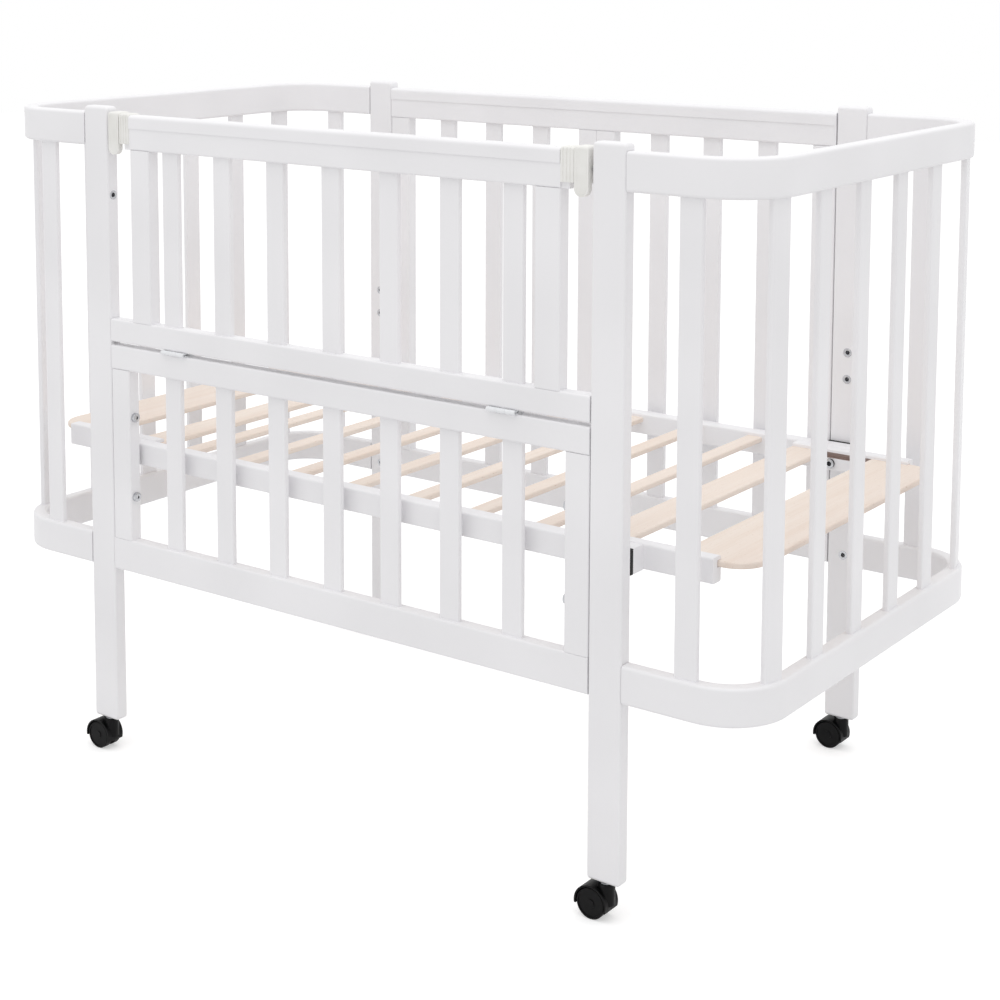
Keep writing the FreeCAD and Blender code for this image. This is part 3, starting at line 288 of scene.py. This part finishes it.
def material(name):
    """A material by name, made once from the scene's chosen colours."""
    if name not in bpy.data.materials:
        chosen = bpy.context.scene.crib_finishes
        makers = {
            "white_lacquer_shaded_groove": (lacquered_wood, GRAIN["x"], chosen.lacquer, shaded_bare_groove),
            "sealed_beech": (sealed_beech, chosen.beech, chosen.beech_dark),
            "bare_beech": (bare_beech,),
            "ivory_abs": (moulded_abs, chosen.latch),
            "moulded_nylon": (moulded_nylon, chosen.castor),
            "black_rubber_gap_shade": (rubber_pad_gap_shade,),
            "zinc_plated_steel": (zinc_steel,),
            "black_oxide_steel": (black_oxide,),
            "white_enamel": (white_enamel,),
            "socket_shadow_steel": (socket_painted_shade,),
        }
        for way, pores in GRAIN.items():
            makers["white_lacquer_grain_" + way] = (lacquered_wood, pores, chosen.lacquer)
        make, *values = makers[name]
        make(name, *values)
    return bpy.data.materials[name]


def dress(nodes, name):
    """Gives CAD nodes one material."""
    for node in nodes:
        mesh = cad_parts[node].data
        mesh.materials.clear()
        mesh.materials.append(material(name))


# Surfaces ----------------------------------------------------------------------------------------
# A shape is three arrays: its points, its quads, and each quad's place among the piece's materials.

def grid_faces(rows, columns, round_rows=False):
    """Quads of a grid of points, row by row; with round_rows the last column meets the first."""
    across = columns if round_rows else columns - 1
    row, column = np.meshgrid(np.arange(rows - 1), np.arange(across), indexing="ij")
    after = (column + 1) % columns
    corners = [row * columns + column, row * columns + after,
               (row + 1) * columns + after, (row + 1) * columns + column]
    return np.stack(corners, -1).reshape(-1, 4)


def put_mesh(name, shape, body, finishes):
    """Makes a piece from a shape and its materials, and lets it ride on a body."""
    points, faces, chosen = shape
    mesh = bpy.data.meshes.new(name)
    mesh.from_pydata(points.tolist(), [], faces.tolist())
    for finish_name in finishes:
        mesh.materials.append(material(finish_name))
    mesh.polygons.foreach_set("material_index", chosen.astype(np.int32))
    mesh.polygons.foreach_set("use_smooth", np.ones(len(faces), bool))
    mesh.validate()
    mesh.update()
    piece = bpy.data.objects.new(name, mesh)
    bpy.context.scene.collection.objects.link(piece)
    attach(piece, body)
    return piece


def several(shape, spots):
    """The same shape, which faces +Z about the origin, at many spots, each with the axis that it faces."""
    points, faces, chosen = shape
    turns = [Vector((0, 0, 1)).rotation_difference(Vector(axis)).to_matrix() for _, axis in spots]
    placed = [points @ np.array(turn).T + np.array(spot) for turn, (spot, _) in zip(turns, spots)]
    shifted = [faces + number * len(points) for number in range(len(spots))]
    return np.concatenate(placed), np.concatenate(shifted), np.tile(chosen, len(spots))


def angles(count):
    """Evenly spaced angles round a circle, from 0 to just short of a full turn."""
    return np.arange(count) / count * 2 * math.pi


def revolved(rings, count, lined=0):
    """Rings about +Z, from the middle outwards, each with its radius and its height.

    A radius is one number, or one for each of the ring's points.  The first `lined` strips of quads take
    the piece's second material.
    """
    angle = angles(count)
    points = np.stack([np.stack([radius * np.cos(angle), radius * np.sin(angle), np.full(count, level)], -1)
                       for radius, level in rings])
    faces = grid_faces(len(rings), count, True)[:, ::-1]
    return points.reshape(-1, 3), faces, (np.arange(len(faces)) < lined * count).astype(int)


def hexagon_radius(angle, apothem):
    """Middle of a hexagon to its side: the apothem over the cosine of the angle from that side's middle."""
    return apothem / np.cos((angle + math.pi / 6) % (math.pi / 3) - math.pi / 6)


def socket_cap(radius, height, apothem, depth, count=48):
    """A pan head's crown with a hexagon socket, whose floor and lower walls take the second material, the
    socket's painted shade.

    Rings run from the socket's floor up its six walls, over a crown of height h (1 - s^2.2 / 2), with s from
    0 at the socket to 1 at the rim, and down the head's side into the CAD head under it.
    """
    lip, ease, sunk = 0.12 * MM, 0.1 * MM, 0.2 * MM
    hub, brow, shoulder = 0.02, 0.97, 0.36  # shares of the hexagon, of the radius and of the height
    hexagon = hexagon_radius(angles(count), apothem)
    floor = height - depth
    rings = [(hexagon * hub, floor), (hexagon, floor), (hexagon, height - ease)]
    rings += [((hexagon + lip) * (1 - share) + radius * brow * share, height * (1 - share ** 2.2 / 2))
              for share in np.linspace(0, 1, 9)]
    rings += [(radius, height * shoulder), (radius, -sunk)]
    return revolved(rings, count, lined=2)


def dome(radius, height, count=32):
    """A shallow rivet head: radius R sin(t), height h cos(t), for t from almost 0 to a quarter turn."""
    return revolved([(radius * math.sin(turn), height * math.cos(turn))
                     for turn in np.linspace(0.02, math.pi / 2, 9)], count)


def collar(outside, inside, height, count=40):
    """An insert's dished flange: from the bore a slope rises to a rim of that height, rounded outside."""
    sunk, dish, rounding, edge = 0.6 * MM, 0.9 * MM, 0.5 * MM, 0.1 * MM
    return revolved([(inside - edge / 2, -sunk), (inside, height * 0.2), (inside + dish, height * 0.3),
                     (outside - rounding, height), (outside - edge, height * 0.8), (outside, -edge)], count)


def bead(path, normal, width, height, count=9):
    """A half-round bead along a path on a flat face.

    Each section is (w / 2 cos(s), h sin(s)), with s from 0 to a half turn, across the path and out of the
    face.
    """
    normal = np.array(normal)
    ahead = np.gradient(path, axis=0)
    ahead /= np.linalg.norm(ahead, axis=1)[:, None]
    across = np.cross(normal, ahead)
    sweep = np.linspace(0, math.pi, count)[None, :, None]
    points = path[:, None, :] + across[:, None, :] * (width / 2 * np.cos(sweep))
    points = points + normal * (height * np.sin(sweep))
    faces = grid_faces(len(path), count)
    return points.reshape(-1, 3), faces, np.zeros(len(faces), int)


# Places, read from the frame ---------------------------------------------------------------------
# A spot is a point and the axis that a fitting there faces.

def quarter_points(node, side, way):
    """Those of a CAD node's points that lie in one quarter of the plan."""
    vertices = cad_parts[node].data.vertices
    points = np.empty(len(vertices) * 3, np.float32)
    vertices.foreach_get("co", points)
    points = points.reshape(-1, 3).astype(float)
    return points[(points[:, 0] * side > 0) & (points[:, 1] * way > 0)]


def quarter_box(node, side, way):
    """The corners of the box round those points."""
    points = quarter_points(node, side, way)
    return points.min(0), points.max(0)


def panel_bolt_spots(radius):
    """Where the front panel's bolt heads face the cot's middle.

    A head is wider than its shank, so the bolts' box reaches a head's radius above and below their middles.
    """
    spots = []
    for side in SIDES.values():
        low, high = quarter_box("panel_bolts", side, -1)
        along, across = min(low[0], high[0], key=abs), (low[1] + high[1]) / 2
        spots += [((along, across, up), (-side, 0, 0)) for up in (low[2] + radius, high[2] - radius)]
    return spots


def base_bolt_spots():
    """Where the base bolts' heads face the cot's middle."""
    spots = []
    for side in SIDES.values():
        for way in DEPTHS.values():
            low, high = quarter_box("base_bolts", side, way)
            middle = (low + high) / 2
            spots.append(((middle[0], min(low[1], high[1], key=abs), middle[2]), (0, -way, 0)))
    return spots


def spare_insert_spots():
    """Where the inserts that hold no bolt open towards the cot's middle.

    The inserts of one post stand apart in height, and each lies along the longest side of its own box.
    """
    pad_low, pad_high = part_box("base_pads")
    apart = 8 * MM
    spots = []
    for side in SIDES.values():
        for way in DEPTHS.values():
            post = quarter_points("post_inserts", side, way)
            post = post[post[:, 2].argsort()]
            for insert in np.split(post, np.flatnonzero(np.diff(post[:, 2]) > apart) + 1):
                low, high = insert.min(0), insert.max(0)
                if pad_low.z < low[2] < pad_high.z:
                    continue
                along = (high - low).argmax()
                spot, axis = (low + high) / 2, np.zeros(3)
                spot[along] = min(low[along], high[along], key=abs)
                axis[along] = -math.copysign(1, spot[along])
                spots.append((spot, axis))
    return spots


def pin_end_spots():
    """The two ends of each hinge pin."""
    spots = []
    for side in SIDES.values():
        low, high = quarter_box("hinge_pins", side, -1)
        middle = (low + high) / 2
        spots += [((low[0], *middle[1:]), (-1, 0, 0)), ((high[0], *middle[1:]), (1, 0, 0))]
    return spots


def leaf_screw_spots(up, way, spacing, inset):
    """Three screws in a row along each hinge's leaves, in from their back edge, that face up or down."""
    spots = []
    for side in SIDES.values():
        low, high = quarter_box("hinge_lower_leaves", side, -1)
        middle = (low[0] + high[0]) / 2
        spots += [((middle + step * spacing, high[1] - inset, up), (0, 0, way)) for step in (-1, 0, 1)]
    return spots


def thumb_line(low, high, inset, straight=12, bend=25):
    """A line down one side of the thumb piece, round its foot in a half circle and up the other side.

    With r the half width less the inset, the foot is (x + r cos t, z - r sin t) for t from 0 to a half turn.
    `straight` and `bend` are the points on a side and round the foot.
    """
    half = (high.x - low.x) / 2
    radius, middle, foot = half - inset, (high.x + low.x) / 2, low.z + half
    rise = np.linspace(high.z - 2 * inset, foot, straight, endpoint=False)
    sweep = np.linspace(0, math.pi, bend)
    along = middle + radius * np.concatenate([np.ones(straight), np.cos(sweep), -np.ones(straight)])
    up = np.concatenate([rise, foot - radius * np.sin(sweep), rise[::-1]])
    return np.stack([along, np.full(len(along), low.y), up], -1)


# Settings ----------------------------------------------------------------------------------------

class CribFinishes(bpy.types.PropertyGroup):
    """Colours of the crib's surfaces, as sRGB hex values."""
    lacquer: bpy.props.StringProperty(
        name="Lacquer", description="White lacquer on the wood", default="#F3F2F4")
    beech: bpy.props.StringProperty(
        name="Beech", description="Sealed deck boards", default="#EFE1D6")
    beech_dark: bpy.props.StringProperty(
        name="Beech grain", description="Bands and fibres of the deck boards", default="#E3CDBB")
    latch: bpy.props.StringProperty(
        name="Latches", description="Moulded latches", default="#F1F0ED")
    castor: bpy.props.StringProperty(
        name="Castors", description="Moulded castors", default="#070708")


class CribSizes(bpy.types.PropertyGroup):
    """Sizes of the small fittings."""
    bolt_head: bpy.props.FloatProperty(
        name="Bolt head", description="Head of a panel or base bolt, across", default=13 * MM, unit="LENGTH")
    crown: bpy.props.FloatProperty(
        name="Bolt crown", description="Height of a bolt head's crown", default=1.3 * MM, unit="LENGTH")
    socket: bpy.props.FloatProperty(
        name="Bolt socket", description="Hexagon socket across its flats", default=4 * MM, unit="LENGTH")
    base_socket: bpy.props.FloatProperty(
        name="Base bolt socket", description="Its hexagon across the flats", default=6.5 * MM, unit="LENGTH")
    socket_sink: bpy.props.FloatProperty(
        name="Socket sink", description="Foot of a crown to its socket's floor", default=0.1 * MM,
        unit="LENGTH")
    collar: bpy.props.FloatProperty(
        name="Insert collar", description="Flange of a spare insert, across", default=13 * MM, unit="LENGTH")
    collar_bore: bpy.props.FloatProperty(
        name="Collar bore", description="Hole in that flange, across", default=6.6 * MM, unit="LENGTH")
    collar_height: bpy.props.FloatProperty(
        name="Collar height", description="How far that flange stands out", default=0.5 * MM, unit="LENGTH")
    leaf: bpy.props.FloatProperty(
        name="Hinge leaf", description="Thickness of a hinge's leaf", default=1.2 * MM, unit="LENGTH")
    pin_end: bpy.props.FloatProperty(
        name="Pin end", description="Peened end of a hinge pin, across", default=4.2 * MM, unit="LENGTH")
    pin_end_height: bpy.props.FloatProperty(
        name="Pin end height", description="How far that end stands out", default=0.9 * MM, unit="LENGTH")
    screw: bpy.props.FloatProperty(
        name="Hinge screw", description="Head of a leaf's screw, across", default=5.2 * MM, unit="LENGTH")
    screw_height: bpy.props.FloatProperty(
        name="Screw height", description="Height of that head", default=0.5 * MM, unit="LENGTH")
    screw_socket: bpy.props.FloatProperty(
        name="Screw socket", description="Its hexagon across the flats", default=1.8 * MM, unit="LENGTH")
    screw_spacing: bpy.props.FloatProperty(
        name="Screw spacing", description="Between the screws of a leaf", default=14 * MM, unit="LENGTH")
    screw_inset: bpy.props.FloatProperty(
        name="Screw inset", description="Back edge of a leaf to its screws", default=5.5 * MM, unit="LENGTH")
    ridge_width: bpy.props.FloatProperty(
        name="Ridge width", description="Raised line round the thumb piece", default=1.1 * MM, unit="LENGTH")
    ridge_height: bpy.props.FloatProperty(
        name="Ridge height", description="How far that line stands out", default=0.35 * MM, unit="LENGTH")
    ridge_inset: bpy.props.FloatProperty(
        name="Ridge inset", description="That line, in from the thumb piece's edge", default=3.2 * MM,
        unit="LENGTH")


class CribStudio(bpy.types.PropertyGroup):
    """Camera, light and floor."""
    camera_place: bpy.props.FloatVectorProperty(
        name="Camera", description="Where the camera stands", size=3, default=(1.61813, -2.22670, 1.15564),
        subtype="TRANSLATION")
    heading: bpy.props.FloatProperty(
        name="Heading", description="Turn of the view from +Y towards -X", default=0.64179, subtype="ANGLE")
    dip: bpy.props.FloatProperty(
        name="Dip", description="Tilt of the view below the horizon", default=0.10923, subtype="ANGLE")
    roll: bpy.props.FloatProperty(
        name="Roll", description="Rise of the picture's right side", default=0.00097, subtype="ANGLE")
    sensor: bpy.props.FloatProperty(
        name="Sensor", description="Width of the sensor, in mm", default=36)
    lens: bpy.props.FloatProperty(
        name="Lens", description="Focal length on that sensor, in mm", default=71.004)
    shift: bpy.props.FloatVectorProperty(
        name="Shift", description="Of the picture's middle, across and up, in picture widths", size=2,
        default=(0.0482, -0.3376))
    sky: bpy.props.FloatProperty(
        name="Sky", description="Strength of the light from all round", default=0.88)
    key: bpy.props.FloatProperty(
        name="Key", description="Power of the light overhead", default=27.0, unit="POWER")
    key_size: bpy.props.FloatProperty(
        name="Key size", description="That light, along a side", default=3.6, unit="LENGTH")
    key_place: bpy.props.FloatVectorProperty(
        name="Key place", description="Where that light hangs", size=3, default=(0.2, -0.5, 3.4),
        subtype="TRANSLATION")
    key_target: bpy.props.FloatVectorProperty(
        name="Key target", description="What that light faces", size=3, default=(0, 0, 0.4),
        subtype="TRANSLATION")
    floor: bpy.props.FloatProperty(
        name="Floor", description="The paper floor, along a side", default=18, unit="LENGTH")
    paper: bpy.props.StringProperty(
        name="Paper", description="The floor's own tone, as an sRGB hex value", default="#E4E4E4")
    glow: bpy.props.FloatProperty(
        name="Glow", description="Strength of the glow that lifts the floor to white", default=0.42)


# Operators ---------------------------------------------------------------------------------------

class CRIB_OT_lacquer(bpy.types.Operator):
    """Lacquers the posts, rails, stiles and slats, with the grain along each piece"""
    bl_idname = "crib.lacquer"
    bl_label = "Lacquer the wood"

    def execute(self, context):
        along = ["front_panel_top_rail", "front_panel_bottom_rail", "back_top_rails", "back_bottom_rails",
                 "base_rails", "gate_top_rail", "gate_bottom_rail"]
        upright = ["end_slats_left", "end_slats_right", "front_panel_stiles", "front_panel_slats",
                   "back_outer_stiles", "back_inner_stiles", "back_slats",
                   "gate_stile_left", "gate_stile_right", "gate_slats"]
        upright += [f"post_{depth}_{side}" for depth in DEPTHS for side in SIDES]
        bent = [f"end_rail_{level}_{side}" for level in ("upper", "lower") for side in SIDES]
        dress(along, "white_lacquer_grain_x")
        # The outriggers' groove is coloured bare wood with painted shade.
        dress(["base_outriggers"], "white_lacquer_shaded_groove")
        dress(upright, "white_lacquer_grain_z")
        dress(bent, "white_lacquer_grain_bend")
        dress(["end_rail_dowels"], "bare_beech")
        return {"FINISHED"}


class CRIB_OT_deck(bpy.types.Operator):
    """Finishes the deck's slats and boards, and the pads beside the posts"""
    bl_idname = "crib.deck"
    bl_label = "Finish the deck"

    def execute(self, context):
        dress(["deck_slats", "deck_wide_slats", "deck_end_boards"], "sealed_beech")
        # The pads' black also paints the shadow in the gap between post and base rail.
        dress(["base_pads"], "black_rubber_gap_shade")
        return {"FINISHED"}


class CRIB_OT_bolts(bpy.types.Operator):
    """Finishes bolts and inserts, crowns each bolt head with its socket, and rims each spare insert"""
    bl_idname = "crib.bolts"
    bl_label = "Finish the bolts"

    def execute(self, context):
        sizes = context.scene.crib_sizes
        dress(["panel_bolts", "post_inserts", "castor_sockets"], "zinc_plated_steel")
        dress(["base_bolts"], "black_oxide_steel")
        radius = sizes.bolt_head / 2
        for name, spots, slots, across in (
                ("panel_bolt_crowns", panel_bolt_spots(radius), "bright_steel", sizes.socket),
                ("base_bolt_crowns", base_bolt_spots(), "black_bolt", sizes.base_socket)):
            crown = socket_cap(radius, sizes.crown, across / 2, sizes.crown + sizes.socket_sink)
            # The second material paints the shade at the bottom of each socket.
            put_mesh(name, several(crown, spots), "frame",
                     ["zinc_plated_steel", "socket_shadow_steel"])
        rim = collar(sizes.collar / 2, sizes.collar_bore / 2, sizes.collar_height)
        put_mesh("insert_collars", several(rim, spare_insert_spots()), "frame",
                 ["zinc_plated_steel"])
        return {"FINISHED"}


class CRIB_OT_latches(bpy.types.Operator):
    """Finishes the latches and draws the raised line round each thumb piece"""
    bl_idname = "crib.latches"
    bl_label = "Finish the latches"

    def execute(self, context):
        sizes = context.scene.crib_sizes
        dress(["latch_sleeves", "latch_strikes", "latch_thumb_left", "latch_thumb_right"], "ivory_abs")
        dress(["latch_bolt_left", "latch_bolt_right"], "zinc_plated_steel")
        for side in SIDES:
            low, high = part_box("latch_thumb_" + side)
            path = thumb_line(low, high, sizes.ridge_inset)
            ridge = bead(path, (0, -1, 0), sizes.ridge_width, sizes.ridge_height)
            put_mesh(f"latch_ridge_{side}", ridge, "latch_" + side, ["ivory_abs"])
        return {"FINISHED"}


class CRIB_OT_hinges(bpy.types.Operator):
    """Finishes the hinges, and gives each pin its peened ends and each leaf its screws"""
    bl_idname = "crib.hinges"
    bl_label = "Finish the hinges"

    def execute(self, context):
        sizes = context.scene.crib_sizes
        dress(["hinge_lower_leaves", "hinge_upper_leaves"], "white_enamel")
        dress(["hinge_pins"], "zinc_plated_steel")
        ends = several(dome(sizes.pin_end / 2, sizes.pin_end_height), pin_end_spots())
        put_mesh("hinge_pin_ends", ends, "frame", ["zinc_plated_steel"])
        head = socket_cap(sizes.screw / 2, sizes.screw_height, sizes.screw_socket / 2, sizes.screw_height, 36)
        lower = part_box("front_panel_top_rail")[1].z + sizes.leaf
        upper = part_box("gate_bottom_rail")[0].z - sizes.leaf
        for name, up, way, body in (("hinge_screws_lower", lower, 1, "frame"),
                                    ("hinge_screws_upper", upper, -1, "gate")):
            spots = leaf_screw_spots(up, way, sizes.screw_spacing, sizes.screw_inset)
            # The second material paints the shade at the bottom of each screw's socket.
            put_mesh(name, several(head, spots), body, ["white_enamel", "socket_shadow_steel"])
        return {"FINISHED"}


class CRIB_OT_castors(bpy.types.Operator):
    """Finishes the castors' hoods, wheels and pins"""
    bl_idname = "crib.castors"
    bl_label = "Finish the castors"

    def execute(self, context):
        for depth in DEPTHS:
            for side in SIDES:
                tag = f"{depth}_{side}"
                dress([f"castor_hood_{tag}", f"castor_wheel_{tag}_front", f"castor_wheel_{tag}_rear"],
                      "moulded_nylon")
                dress([f"castor_pins_{tag}"], "zinc_plated_steel")
        return {"FINISHED"}


class CRIB_OT_studio(bpy.types.Operator):
    """Builds the pale floor, the soft light and the camera at the photograph's angle"""
    bl_idname = "crib.studio"
    bl_label = "Build the studio"

    def execute(self, context):
        studio = context.scene.crib_studio
        make_floor(studio)
        make_sky(studio)
        make_light(studio)
        make_camera(studio)
        context.scene.view_settings.view_transform = "Standard"
        return {"FINISHED"}


# Studio ------------------------------------------------------------------------------------------

WHITE = (1, 1, 1, 1)


def seen_directly(tree):
    """1 for camera, glossy and transmission rays, so that mirrors and the camera see the same background."""
    path = add_node(tree, "ShaderNodeLightPath").outputs
    both = add_node(tree, "ShaderNodeMath", {0: path["Is Camera Ray"], 1: path["Is Glossy Ray"]},
                    operation="MAXIMUM").outputs[0]
    return add_node(tree, "ShaderNodeMath", {0: both, 1: path["Is Transmission Ray"]},
                    operation="MAXIMUM").outputs[0]


def make_floor(studio):
    """A white paper floor: its own glow lifts it to white, and the object's shadow still darkens it."""
    half = studio.floor / 2
    corners = [(-half, -half, 0), (half, -half, 0), (half, half, 0), (-half, half, 0)]
    mesh = bpy.data.meshes.new("studio_floor")
    mesh.from_pydata(corners, [], [(0, 1, 2, 3)])
    floor = bpy.data.objects.new("studio_floor", mesh)
    bpy.context.scene.collection.objects.link(floor)
    paper = bpy.data.materials.new("white_paper")
    paper.use_nodes = True
    tree = paper.node_tree
    tree.nodes.clear()
    matt = add_node(tree, "ShaderNodeBsdfDiffuse", {"Color": linear(studio.paper)})
    glow = add_node(tree, "ShaderNodeEmission", {"Color": WHITE, "Strength": studio.glow})
    nothing = add_node(tree, "ShaderNodeEmission", {"Strength": 0.0})
    lift = add_node(tree, "ShaderNodeMixShader", {0: seen_directly(tree), 1: nothing.outputs[0],
                                                  2: glow.outputs[0]})
    both = add_node(tree, "ShaderNodeAddShader", {0: matt.outputs[0], 1: lift.outputs[0]})
    add_node(tree, "ShaderNodeOutputMaterial", {"Surface": both.outputs[0]})
    mesh.materials.append(paper)


def make_sky(studio):
    """Even white light from all round, and plain white where it is seen."""
    world = bpy.data.worlds.new("studio_sky")
    world.use_nodes = True
    bpy.context.scene.world = world
    tree = world.node_tree
    tree.nodes.clear()
    light = add_node(tree, "ShaderNodeBackground", {"Color": WHITE, "Strength": studio.sky})
    white = add_node(tree, "ShaderNodeBackground", {"Color": WHITE, "Strength": 1.0})
    mixed = add_node(tree, "ShaderNodeMixShader", {0: seen_directly(tree), 1: light.outputs[0],
                                                   2: white.outputs[0]})
    add_node(tree, "ShaderNodeOutputWorld", {"Surface": mixed.outputs[0]})


def make_light(studio):
    """A square soft box overhead, aimed at the cot."""
    data = bpy.data.lights.new("overhead", "AREA")
    data.size = studio.key_size
    data.energy = studio.key
    lamp = bpy.data.objects.new("overhead", data)
    lamp.location = studio.key_place
    ahead = Vector(studio.key_target) - Vector(studio.key_place)
    lamp.rotation_euler = ahead.to_track_quat("-Z", "Y").to_euler()
    bpy.context.scene.collection.objects.link(lamp)


def make_camera(studio):
    """The camera at the photograph's place, for an image of 1000 x 1000, with its shift for the framing."""
    data = bpy.data.cameras.new("photograph_view")
    data.sensor_width = studio.sensor
    data.lens = studio.lens
    data.shift_x, data.shift_y = studio.shift
    data.clip_end = 100
    data.dof.use_dof = False
    camera = bpy.data.objects.new("photograph_view", data)
    turn, dip = studio.heading, studio.dip
    ahead = Vector((-math.sin(turn) * math.cos(dip), math.cos(turn) * math.cos(dip), -math.sin(dip)))
    right = Vector((math.cos(turn), math.sin(turn), math.tan(studio.roll))).normalized()
    up = right.cross(ahead).normalized()
    facing = Matrix((right, up, -ahead)).transposed().to_4x4()
    camera.matrix_world = Matrix.Translation(studio.camera_place) @ facing
    bpy.context.scene.collection.objects.link(camera)
    bpy.context.scene.camera = camera


# Add-on ------------------------------------------------------------------------------------------

OPERATORS = (CRIB_OT_lacquer, CRIB_OT_deck, CRIB_OT_bolts, CRIB_OT_latches, CRIB_OT_hinges, CRIB_OT_castors,
             CRIB_OT_studio)
GROUPS = {"crib_finishes": CribFinishes, "crib_sizes": CribSizes, "crib_studio": CribStudio}


class CRIB_PT_panel(bpy.types.Panel):
    """The crib's steps, colours and sizes in the 3D view's sidebar"""
    bl_idname = "CRIB_PT_panel"
    bl_label = "Bedside crib"
    bl_space_type = "VIEW_3D"
    bl_region_type = "UI"
    bl_category = "Crib"

    def draw(self, context):
        layout = self.layout
        for step in OPERATORS:
            layout.operator(step.bl_idname)
        for group, kind in GROUPS.items():
            for name in kind.__annotations__:
                layout.prop(getattr(context.scene, group), name)


def register():
    """Adds the settings, operators and panel."""
    for kind in (*GROUPS.values(), *OPERATORS, CRIB_PT_panel):
        bpy.utils.register_class(kind)
    for name, kind in GROUPS.items():
        setattr(bpy.types.Scene, name, bpy.props.PointerProperty(type=kind))


def unregister():
    """Takes them away again."""
    for name in GROUPS:
        delattr(bpy.types.Scene, name)
    for kind in reversed((*GROUPS.values(), *OPERATORS, CRIB_PT_panel)):
        bpy.utils.unregister_class(kind)


def main():
    """Dresses the crib step by step."""
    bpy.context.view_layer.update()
    register()
    bpy.ops.crib.lacquer()
    bpy.ops.crib.deck()
    bpy.ops.crib.bolts()
    bpy.ops.crib.latches()
    bpy.ops.crib.hinges()
    bpy.ops.crib.castors()
    bpy.ops.crib.studio()
    bpy.context.view_layer.update()


if __name__ == "__main__":
    main()
